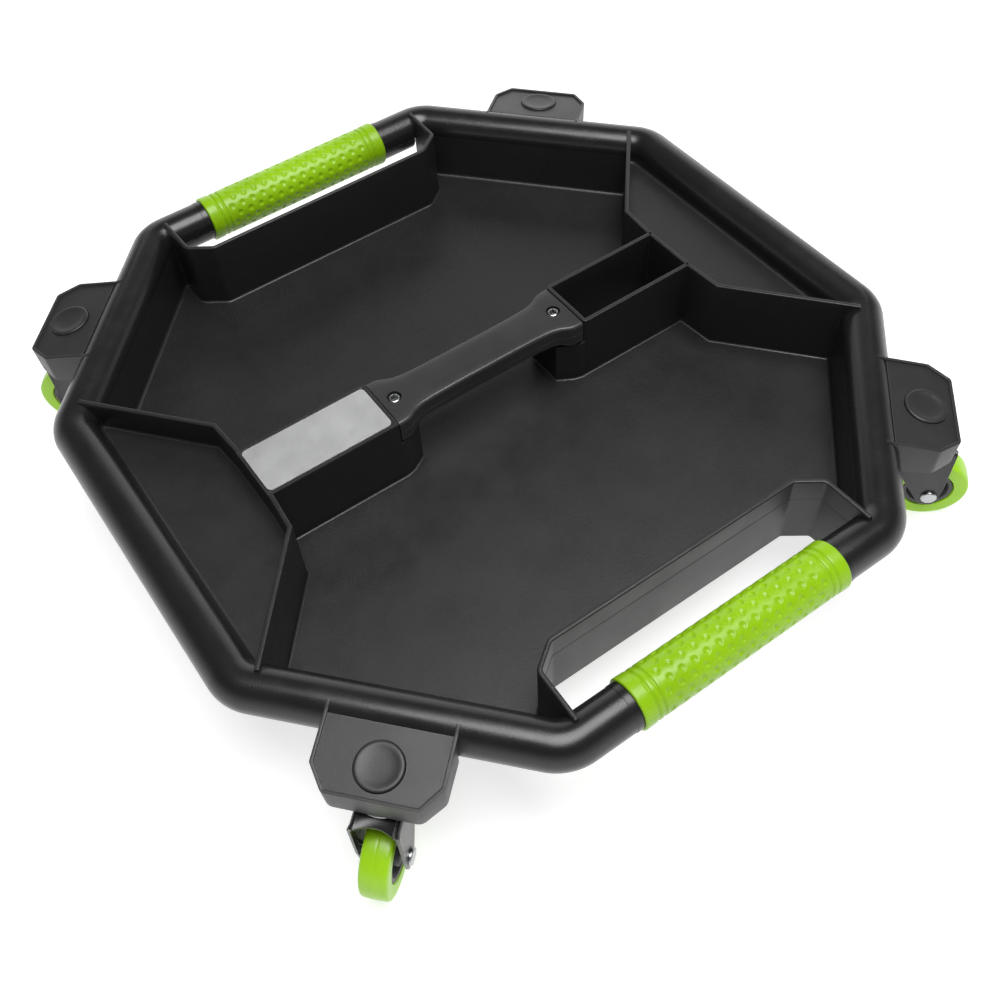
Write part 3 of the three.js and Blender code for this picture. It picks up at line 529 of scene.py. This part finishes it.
def pedestal_outline(inset):
    s = inset * 0.6
    return both_sides([
        (PEDESTAL_X + inset, 13.1 - s), (PEDESTAL_X + 10 + s, 18.9 - inset),
        (BOX_X - 0.5, BOX_Y + JOIN - inset), (BOX_X + 1.1 - 1.2 * (inset > 0), BOX_Y + JOIN - inset),
    ])


tray.append(plate_box())
tray.append(pocket_wall())
for sx in (1, -1):
    side = [*pedestal_outline(0)[:3], (DIVIDER[0][0], BOX_Y)]
    tray.append(fillet(mirrored(side[::-1] + mirrored(side, 1, -1), sx), 0, FLOOR_Z, sx))
    shell, inside = mirrored(pedestal_outline(0), sx), mirrored(pedestal_outline(WALL), sx)
    tray.append(loft([
        at_height(shell, PEDESTAL_Z), at_height(shell, FOOT_Z),
        at_height(inside, FOOT_Z), at_height(inside, PEDESTAL_Z - WALL),
    ]))
    boss = pipe(BOSS_BORE, PEDESTAL_BOSS_R, PEDESTAL_BOSS_FOOT, PEDESTAL_Z - 1, 32)
    tray.append(shifted(boss, sx * SCREW_X))

# ---- Floors: the main floor in two halves that meet on the centre line, then the end shelves ----
EDGE_IN = 12.3  # from the rim's centreline to a floor's edge, which lies inside the wall


def floor_half(sy):
    edge = offset(rounded([SPLIT, quarter[1], (OPENING[0][0], HANDLE_Y)], RIM_BEND - 0.01, 8), -EDGE_IN)
    end = (OPENING_X + 0.1, HANDLE_Y - EDGE_IN)
    outline = [(DIVIDER[0][0], 0), *divider_foot[::-1], *edge[1:], end, *OPENING[1:]]
    outline += mirrored(outline, -1)[::-1]
    box_x0, box_x1, box_y = -BOX_FAR + BOX_END_WALL, -BOX_X - WALL, BOX_Y - WALL
    under_box = [(box_x0, 0), (box_x0, box_y), (box_x1, box_y), (box_x1, 0)]
    bay = [(-x, y) for x, y in pedestal_outline(WALL)[:4][::-1]]
    under_pedestal = [(bay[0][0], 0), *bay, (bay[-1][0], 0)]
    notches = under_box + under_pedestal + mirrored(under_pedestal, -1)[::-1]
    return mirrored(outline + notches, 1, sy)


def shelf_outline(sx):
    edge = offset(rounded(side_corners, RIM_BEND, 8), -EDGE_IN)
    return mirrored(edge + both_sides(divider_foot), sx)


base = [prism(floor_half(sy), UNDER_Z, FLOOR_Z) for sy in (1, -1)]
base += [prism(shelf_outline(sx), SHELF_UNDER_Z, SHELF_Z) for sx in (1, -1)]

# ---- Where the casters are, the bosses above them and the rim's collars -------------------------
CORNERS = (("left_front", -1, -1), ("right_front", 1, -1), ("right_rear", 1, 1), ("left_rear", -1, 1))
chamfer = Vector((HANDLE_Y - SIDE_HALF, SIDE_X - HANDLE_HALF)).normalized()
middle = Vector(((SIDE_X + HANDLE_HALF) / 2, (SIDE_HALF + HANDLE_Y) / 2))
casters = []
for name, sx, sy in CORNERS:
    angle = math.atan2(sy * chamfer.y, sx * chamfer.x)
    place = Matrix.Translation((sx * middle.x, sy * middle.y, 0)) @ Matrix.Rotation(angle, 4, "Z")
    casters.append((name, place))
    for t in (-BRACKET_SCREW_T, BRACKET_SCREW_T):
        tray.append(placed(shifted(pipe(BOSS_BORE, BOSS_R, BOSS_FOOT, BOSS_TOP, 32), 0, t), place))

# Collars where the rim handles leave the grips
for sy in (1, -1):
    for sx in (1, -1):
        band = shell_section(RIM_R + 0.3, RIM_R - 1, LIP + 2, 178, 40, 40)
        rings = []
        for x in (SLEEVE_HALF + 0.2, SLEEVE_HALF + 4.4):
            rings.append([(sx * x, sy * (HANDLE_Y + n), z) for n, z in band])
        rim.append(loft(rings))

make("tray_walls", tray, tray_black, "tray", ["tray"], bevel=0.35)
make("tray_floor", base, tray_black, "tray", [], smooth=False)
make("tray_rim", rim, rim_black, "tray", [], bevel=0.3)

# ---- Plate --------------------------------------------------------------------------------------
plate_outline = rounded_box(PLATE_FAR, PLATE_X, PLATE_Y, PLATE_BEND)
plate = loft([
    at_height(plate_outline, TOP_Z - PLATE_T), at_height(plate_outline, TOP_Z - 0.3),
    at_height([(x * 0.9993 - 0.1, y * 0.985) for x, y in plate_outline], TOP_Z - JOIN),
])
make("steel_plate_face", [plate], plate_silver, "tray", ["steel_plate"])


# ---- Rim handles --------------------------------------------------------------------------------
def sleeve_radius(x, angle):
    """Radius of the grip's surface at a distance along it and an angle round it."""
    from_end = SLEEVE_HALF - abs(x)
    r = SLEEVE_R + SWELL * max(0.0, 1 - from_end / SWELL_REACH) ** 0.5
    r -= END_DROP * max(0.0, 1 - from_end / END_REACH) ** 2
    for groove in GROOVES:
        r -= GROOVE_DEPTH * math.exp(-((from_end - groove) / GROOVE_WIDTH) ** 2)
    row = (angle - FIRST_ROW) / (2 * math.pi) * DIMPLE_ROWS
    nearest = round(row)
    staggered = nearest % 2 == 0
    start = DIMPLE_PITCH / 2 * staggered
    across = (row - nearest) * 2 * math.pi / DIMPLE_ROWS * SLEEVE_R
    last = (DIMPLES - 1) / 2
    k = max(-last - staggered, min(last, round((x - start) / DIMPLE_PITCH)))
    d = math.hypot(x - start - k * DIMPLE_PITCH, across) / DIMPLE_R
    if d < 1:
        r -= DIMPLE_DEPTH * (1 - d * d)
    return r


def grip_sleeve(sy, steps_along=360, steps_round=224):
    """The sleeve's dimpled outside from end to end, then its bore back again."""
    angles = spread(steps_round)
    stations = []
    for i in range(steps_along + 1):
        x = -SLEEVE_HALF + 2 * SLEEVE_HALF * i / steps_along
        stations.append((x, [sleeve_radius(x, a) for a in angles]))
    stations += [(x, [RIM_R + 0.28] * steps_round) for x in (SLEEVE_HALF, -SLEEVE_HALF)]
    rings = []
    for x, radii in stations:
        section = [(r * math.cos(a), r * math.sin(a)) for r, a in zip(radii, angles)]
        rings.append([(x, sy * (HANDLE_Y + n), RIM_Z + z) for n, z in section])
    return loft(rings, loop=True)


def rim_closure(sy):
    """Lower part of the rim's tube, between the tray's lips, inside a grip."""
    cover = shell_section(RIM_R, RIM_R - WALL, 181.8, 308.2, 30, 30)
    return loft([[(x, sy * (HANDLE_Y + n), z) for n, z in cover] for x in (-CLOSURE_HALF, CLOSURE_HALF)])


for name, sy in (("front", -1), ("rear", 1)):
    make(f"grip_sleeve_{name}", [grip_sleeve(sy)], grip_green, "tray", [f"grip_{name}"],
         angle=60)
    make(f"rim_closure_{name}", [rim_closure(sy)], rim_black, "tray", [f"rim_handle_closure_{name}"],
         bevel=0.25)


# ---- Centre handle and its screws ---------------------------------------------------------------
def handle_at(x):
    """(half width, underside) at a distance from the middle."""
    for (x0, w0, z0), (x1, w1, z1) in zip(HANDLE_SHAPE, HANDLE_SHAPE[1:]):
        if x <= x1:
            f = (x - x0) / (x1 - x0)
            return w0 + (w1 - w0) * f, z0 + (z1 - z0) * f
    return HANDLE_SHAPE[-1][1:]


def smooth_handle(x, reach=1.6):
    """The same, averaged over a short stretch so that the outline has no corners."""
    samples = [handle_at(min(HANDLE_END, abs(x + reach * k / 3))) for k in range(-3, 4)]
    return tuple(sum(s[i] for s in samples) / len(samples) for i in (0, 1))


def handle_half(section):
    stations = sorted({-HANDLE_MESH_END, HANDLE_MESH_END, *[k * 1.5 for k in range(-45, 46)]})
    rings = []
    for x in stations:
        side = section(*smooth_handle(x))
        ring = side + [(-y, z) for y, z in reversed(side)]
        rings.append([(x, y, z) for y, z in ring])
    return loft(rings)


def top_side(w, _, edge=2.2):
    """One side of the upper half's section: an upright face, a round edge and a low crown."""
    shoulder = arc(edge, 0, 80, 8, w - edge, HANDLE_TOP - 0.35 - edge)
    return [(w, HANDLE_SPLIT + 0.05), *shoulder, (w * 0.6, HANDLE_TOP - 0.1), (w * 0.25, HANDLE_TOP)]


def bottom_side(w, z0, edge=2.8):
    return [*arc(edge, -90, 0, 7, w - edge, z0 + edge), (w, HANDLE_SPLIT - 0.3)]


def circle(radius, z, steps=48, lobes=0.0):
    """Level ring of points, pushed out into six lobes by the given share of its radius."""
    points = []
    for a in spread(steps):
        r = radius * (1 + lobes * math.cos(6 * a))
        points.append((r * math.cos(a), r * math.sin(a), z))
    return points


def screw(shank, head):
    """Pan-head screw with a six-lobed recess, its seat at z = 0."""
    recess = [(1.3, -0.9), (1.75, 0.3), (2.1, head * 0.86), (2.25, head)]
    outside = [
        (2.9, head), (3.5, head * 0.88), (3.95, head * 0.6), (4.18, head * 0.28), (4.2, 0.0),
        (2.1, 0.0), (2.1, -shank + 1.5), (1.4, -shank),
    ]
    return loft([circle(r, z, lobes=0.17) for r, z in recess] + [circle(r, z) for r, z in outside])


well = turned([(HEAD_WELL_R, HANDLE_TOP - HEAD_WELL), (HEAD_WELL_R, TOP_Z + 1)], 48)
wells = [shifted(well, sx * SCREW_X) for sx in (1, -1)]
make("centre_handle_upper", [handle_half(top_side)], handle_black, "tray", ["centre_handle_top"],
     angle=50, holes=wells)
make("centre_handle_lower", [handle_half(bottom_side)], handle_black, "tray", ["centre_handle_bottom"],
     angle=50)
for name, sx in (("left", -1), ("right", 1)):
    part = shifted(screw(29, 2.4), sx * SCREW_X, 0, HANDLE_TOP - HEAD_WELL + 0.1)
    make(f"lobed_screw_{name}", [part], zinc_bright, "tray", [f"handle_screw_{name}"])


# ---- Caster brackets ----------------------------------------------------------------------------
def top_at(n):
    """Height of the bracket's sloping top."""
    return SIDE_TOP_Z - SLOPE * (n - SIDE_N)


def bracket_walls():
    """Drafted wall round the bracket, rising into two fins that lie on the rim."""
    side_t = SIDE_T - SKIRT_T / 2

    def outline_half(shrink, radius):
        nose_n = NOSE_N - SKIRT_T / 2 - shrink
        corners = [
            (BODY_N, side_t - shrink), (SIDE_N - 0.4, side_t - shrink),
            (nose_n, NOSE_T - 0.5 - shrink), (nose_n, 0),
        ]
        return rounded(corners, radius, 6)[:-1]

    fin, fin_foot = [4.0, 5.0, 6.0, 7.5, 9.0, BODY_N - 0.02], 92.3
    rim_top = [RIM_Z + math.sqrt((RIM_R + 0.3) ** 2 - n * n) for n in fin]
    levels = [(fin_foot, max(top_at(n), z + 0.1 * (n - fin[0]))) for n, z in zip(fin, rim_top)]
    top_half, foot_half = outline_half(0, 2.4), outline_half(0.5, 5.0)
    levels += [(SKIRT_Z, top_at(n)) for n, _ in top_half]
    fin_line = [(n, side_t) for n in fin]
    line, foot = both_sides(fin_line + top_half), both_sides(fin_line + foot_half)
    return wall(line, levels + levels[::-1], SKIRT_T, edge=0.35, foot=foot)


def bracket_plate(sy):
    """Half of the recessed top plate, up to the cap's seat; the two halves meet across the seat."""
    inner = [(SIDE_N - 0.9, SIDE_T - 1.6), (NOSE_N - 1.8, NOSE_T - 1.2), (NOSE_N - 1.8, 0)]
    seat = arc(CAP_R + 0.35, 0, 180, 40, SWIVEL_N, 0)
    rings = []
    for drop, start in ((1.2, 9.75), (4.0, 12.0)):
        outline = [(start, 0), (start, SIDE_T - 1.6), *inner, *seat]
        rings.append([(n, sy * t, top_at(n) - drop) for n, t in outline])
    return loft(rings)


def bracket_underside():
    """Web and flange against the rim, the pin's socket, and the ribs that hold it."""
    web_n0, web_n1, web_top = 14.1, 17.5, 94
    rib_z, rib_top, rib_half = SKIRT_Z + 2, 91.5, 1
    socket_r, socket_top = 9, 90.5
    parts = [
        block(web_n0, web_n1, -FLANGE_T, FLANGE_T, FLANGE_Z + 0.3, web_top),
        block(-10.5, web_n1 + 0.1, -FLANGE_T, FLANGE_T, FLANGE_Z, FLANGE_TOP_Z),
        shifted(pipe(PIN_R + 0.3, socket_r, SKIRT_Z, socket_top, 40), SWIVEL_N),
    ]
    for side in (-1, 1):
        ends = (side * (socket_r - 0.4), side * 33)
        parts.append(block(SWIVEL_N - rib_half, SWIVEL_N + rib_half, *ends, rib_z, rib_top))
    parts.append(block(web_n1 - 0.3, SWIVEL_N - socket_r + 0.4, -rib_half, rib_half, rib_z, rib_top))
    parts.append(block(SWIVEL_N + socket_r - 0.4, 46.8, -rib_half, rib_half, rib_z, 90))
    return parts


CUP = [
    (CAP_R + 0.3, -0.4), (CAP_R + 1.6, -0.4), (CAP_R + 1.6, -5.2), (0.4, -5.2), (0.4, -3.0),
    (CAP_R + 0.3, -3.0),
]
on_plate = Matrix.Translation((SWIVEL_N, 0, top_at(SWIVEL_N) - 1.2))
cap_seat = on_plate @ Matrix.Rotation(math.atan(SLOPE), 4, "Y")
cup = placed(turned(CUP, 64, closed=True), cap_seat)
bracket = [bracket_walls(), bracket_plate(1), bracket_plate(-1), cup, *bracket_underside()]


# ---- Casters, about the swivel axis -------------------------------------------------------------
def fork_sheet():
    """The fork's legs and back in one bent sheet, with its top edge rolled in."""
    leg = FORK_HALF - SHEET_HALF
    half = [  # (out from the axis, half width, lower edge)
        (FORK_FRONT, leg + 0.7, 33.0), (22.8, leg + 0.4, 19.5), (20.9, leg, 16.6), (13.4, leg, 16.8),
        (11.4, leg - 0.05, 19.0), (1, leg - 0.95, 35.0), (-3, leg - 1.3, 41.3), (-8.5, leg - 3.6, 51.0),
        (-12.0, 4.6, 57.0),
    ]
    line = both_sides([(x, y) for x, y, _ in half])
    bottoms = [z for _, _, z in half]
    rings = []
    for (x, y), (nx, ny), z0 in zip(line, mitres(line), bottoms + bottoms[::-1]):
        bend_z = FORK_TOP - 0.5 * max(0, x - 12) / 12.4 - SHEET_BEND
        outer = arc(SHEET_BEND, 0, 90, 8, SHEET_HALF - SHEET_BEND, bend_z)
        inner = arc(SHEET_BEND - 2 * SHEET_HALF, 90, 0, 5, SHEET_HALF - SHEET_BEND, bend_z)
        section = [(SHEET_HALF, z0), *outer, *inner, (-SHEET_HALF, z0)]
        rings.append([(x + nx * s, y + ny * s, z) for s, z in section])
    return loft(rings)


def fork_plate(steps=20):
    """The fork's domed top plate, its front edge arched over the tyre."""
    width, scoop = FORK_HALF - SHEET_HALF - SHEET_BEND + 1.4, 3.4
    rings = []
    for k in range(steps + 1):
        f = 2 * k / steps - 1
        front, back = FORK_FRONT - scoop * (1 - f * f), -10.8 + 5.2 * abs(f) ** 2.5
        ring = []
        for x, drop in ((back, 0.0), (8, 0.0), (14, 0.1), (front - 5, 0.35), (front - 2, 0.8), (front, 1.7)):
            ring.append((x, width * f, FORK_TOP - 0.03 - drop * (1 - 0.72 * f * f)))
        rings.append(ring + [(x, y, z - FORK_PLATE_T) for x, y, z in reversed(ring)])
    return loft(rings)


def mirrored_profile(side):
    """A profile mirrored in the wheel's middle plane, where a point already in that plane isn't repeated."""
    return side + [(r, -z) for r, z in reversed(side) if z > 0]


# Profiles of the turned pieces, as (radius, height) or, on the wheel, (radius, out from its middle)
HUB_SIDE = [
    (AXLE_R + 0.3, 8.4), (6.2, 8.4), (6.5, 8.0), (6.9, 3.2), (7.6, 2.8), (11.2, 2.8), (11.9, 3.2),
    (12.5, 6.8), (13.0, 7.3), (15.0, 7.4), (15.3, 7.1),
]
TYRE_SIDE = [
    (HUB_R, 7.2), (HUB_R + 0.5, 7.9), (HUB_R + 1.2, 8.0), (22.9, 8.0), (23.5, 7.9), (24.05, 7.6),
    (24.45, 7.1), (24.65, 6.5), (24.85, 4.5), (WHEEL_R, 1.6), (WHEEL_R, 0.25), (24.92, 0.0),
]
RIVET = [(3.4, 15.4), (4.4, 15.25), (4.85, 14.8), (5.0, 14.2), (5.0, 13.4), (AXLE_R, 13.4)]
RACE = [
    (5.8, 69.0), (16.0, 69.0), (16.4, 69.2), (16.5, 69.6), (16.3, 70.0), (15.4, 70.4), (13.5, 70.75),
    (12.9, 71.4), (12.2, 72.0), (10.8, 72.7), (9.0, 73.3), (8.0, 73.9), (7.6, 74.4), (5.8, 74.4),
]
PIN = [
    (3.0, 63.2), (6.5, 63.4), (8.1, 64.2), (8.4, 65.0), (8.4, 66.2), (PIN_R, 66.2), (PIN_R, 87.2),
    (3.0, 87.2),
]
CAP = [
    (3.0, -2.7), (CAP_R, -2.7), (CAP_R, 0.5), (CAP_R - 0.2, 0.95), (CAP_R - 0.7, 1.25), (CAP_R - 1.4, 1.35),
    (CAP_R - 2.4, 1.27), (CAP_R - 3.6, 1.0), (CAP_R - 5.0, 0.75), (5.0, 0.55), (1.0, 0.5),
]
cap = turned(CAP, 96)
flange_screw = screw(14.5, 2.3)
pin = turned(PIN, 64)
race = turned(RACE, 96, closed=True)
sheet, top_plate = fork_sheet(), fork_plate()
pin_hole = turned([(PIN_R + 0.3, FORK_TOP - 6), (PIN_R + 0.3, FORK_TOP + 4)], 48)
rivet = turned(mirrored_profile(RIVET), 48)
hub = turned(mirrored_profile(HUB_SIDE), 96, closed=True)
tyre = turned(mirrored_profile(TYRE_SIDE), 128, closed=True)
for name, place in casters:
    swivel = place @ Matrix.Translation((SWIVEL_N, 0, 0))
    wheel = swivel @ Matrix.Translation((TRAIL, 0, WHEEL_R)) @ Matrix.Rotation(math.pi / 2, 4, "X")
    caster_body, wheel_body = f"caster_{name}", f"wheel_{name}"
    make(f"caster_bracket_{name}", [placed(part, place) for part in bracket], bracket_grey, "tray",
         [f"bracket_{name}"], bevel=0.3)
    make(f"push_cap_{name}", [placed(cap, place @ cap_seat)], bracket_grey, "tray", [f"stem_cap_{name}"],
         angle=60)
    for end, t in (("a", -BRACKET_SCREW_T), ("b", BRACKET_SCREW_T)):
        upwards = place @ Matrix.Translation((0, t, FLANGE_Z - 0.3)) @ Matrix.Rotation(math.pi, 4, "X")
        make(f"flange_screw_{name}_{end}", [placed(flange_screw, upwards)], zinc_bright, "tray",
             [f"bracket_screw_{name}_{end}"])
    make(f"king_pin_{name}", [placed(pin, swivel)], zinc_bright, "tray", [f"swivel_pin_{name}"])
    make(f"ball_race_{name}", [placed(race, swivel)], zinc_bright, "tray", [f"swivel_race_{name}"])
    make(f"yoke_{name}", [placed(sheet, swivel)], fork_black, caster_body, [f"fork_{name}"],
         bevel=0.3)
    make(f"yoke_top_{name}", [placed(top_plate, swivel)], fork_black, caster_body, [],
         bevel=0.3, holes=[placed(pin_hole, swivel)])
    make(f"rivet_{name}", [placed(rivet, wheel)], zinc_bright, caster_body, [f"axle_{name}"])
    make(f"wheel_hub_{name}", [placed(hub, wheel)], hub_grey, wheel_body, [f"hub_{name}"])
    make(f"wheel_tyre_{name}", [placed(tyre, wheel)], tyre_green, wheel_body, [f"tyre_{name}"])


# ---- Floor, light and camera, in metres ---------------------------------------------------------
def studio_floor(reach=60):
    mat, nodes, _ = shader("studio_white")
    bsdf = nodes["Principled BSDF"]
    bsdf.inputs["Base Color"].default_value = (0.5, 0.5, 0.5, 1)
    bsdf.inputs["Roughness"].default_value = 0.8
    bsdf.inputs["Emission Color"].default_value = (1, 1, 1, 1)
    bsdf.inputs["Emission Strength"].default_value = 0.72
    mesh = bpy.data.meshes.new("studio_floor")
    corners = [(-reach, -reach, 0), (reach, -reach, 0), (reach, reach, 0), (-reach, reach, 0)]
    mesh.from_pydata(corners, [], [(0, 1, 2, 3)])
    mesh.materials.append(mat)
    floor = bpy.data.objects.new("studio_floor", mesh)
    bpy.context.scene.collection.objects.link(floor)


def area_light(name, location, target, size, power):
    data = bpy.data.lights.new(name, "AREA")
    data.shape = "RECTANGLE"
    data.size, data.size_y = size
    data.energy = power
    lamp = bpy.data.objects.new(name, data)
    lamp.location = location
    lamp.rotation_euler = (Vector(target) - Vector(location)).to_track_quat("-Z", "Y").to_euler()
    bpy.context.scene.collection.objects.link(lamp)


def studio_world():
    """White all round, bright near the horizon and dim overhead."""
    world = bpy.data.worlds.new("studio")
    world.use_nodes = True
    nodes, links = world.node_tree.nodes, world.node_tree.links
    sky = nodes["Background"]
    sky.inputs["Color"].default_value = (1, 1, 1, 1)
    heading = nodes.new("ShaderNodeSeparateXYZ")
    links.new(nodes.new("ShaderNodeTexCoord").outputs["Generated"], heading.inputs["Vector"])
    strength = ranged(nodes, links, heading.outputs["Z"], 0.08, 0.42, 0.8, 0.1)
    links.new(strength, sky.inputs["Strength"])
    bpy.context.scene.world = world


def photo_camera():
    """Camera at the photograph's viewpoint, which was fitted in units of about the tray's half width,
    above the middle of its top: where it stands, the point it looks at, and a small roll."""
    unit, origin = 0.240, Vector((0, 0, TOP_Z * MM))
    eye = Vector((-1.0867, -1.7866, 2.1646)) * unit + origin
    aim = Vector((-0.2251, -0.4258, 0)) * unit + origin
    roll = -0.0664
    forward = (aim - eye).normalized()
    level = forward.cross(Vector((0, 0, 1))).normalized()
    upright = level.cross(forward)
    right = math.cos(roll) * level + math.sin(roll) * upright
    up = math.cos(roll) * upright - math.sin(roll) * level
    data = bpy.data.cameras.new("camera")
    data.sensor_width = 36
    data.lens = 41.55
    camera = bpy.data.objects.new("camera", data)
    camera.matrix_world = Matrix((
        (right.x, up.x, -forward.x, eye.x),
        (right.y, up.y, -forward.y, eye.y),
        (right.z, up.z, -forward.z, eye.z),
        (0, 0, 0, 1),
    ))
    bpy.context.scene.collection.objects.link(camera)
    bpy.context.scene.camera = camera


studio_floor()
area_light("softbox", (0.08, -0.34, 1.9), (0, 0, 0.05), (1.5, 1.15), 47)
area_light("backdrop", (1.7, 2.3, 1.1), (0, 0, 0.3), (3.6, 2.2), 24)
studio_world()
bpy.context.scene.view_settings.view_transform = "Standard"
photo_camera()
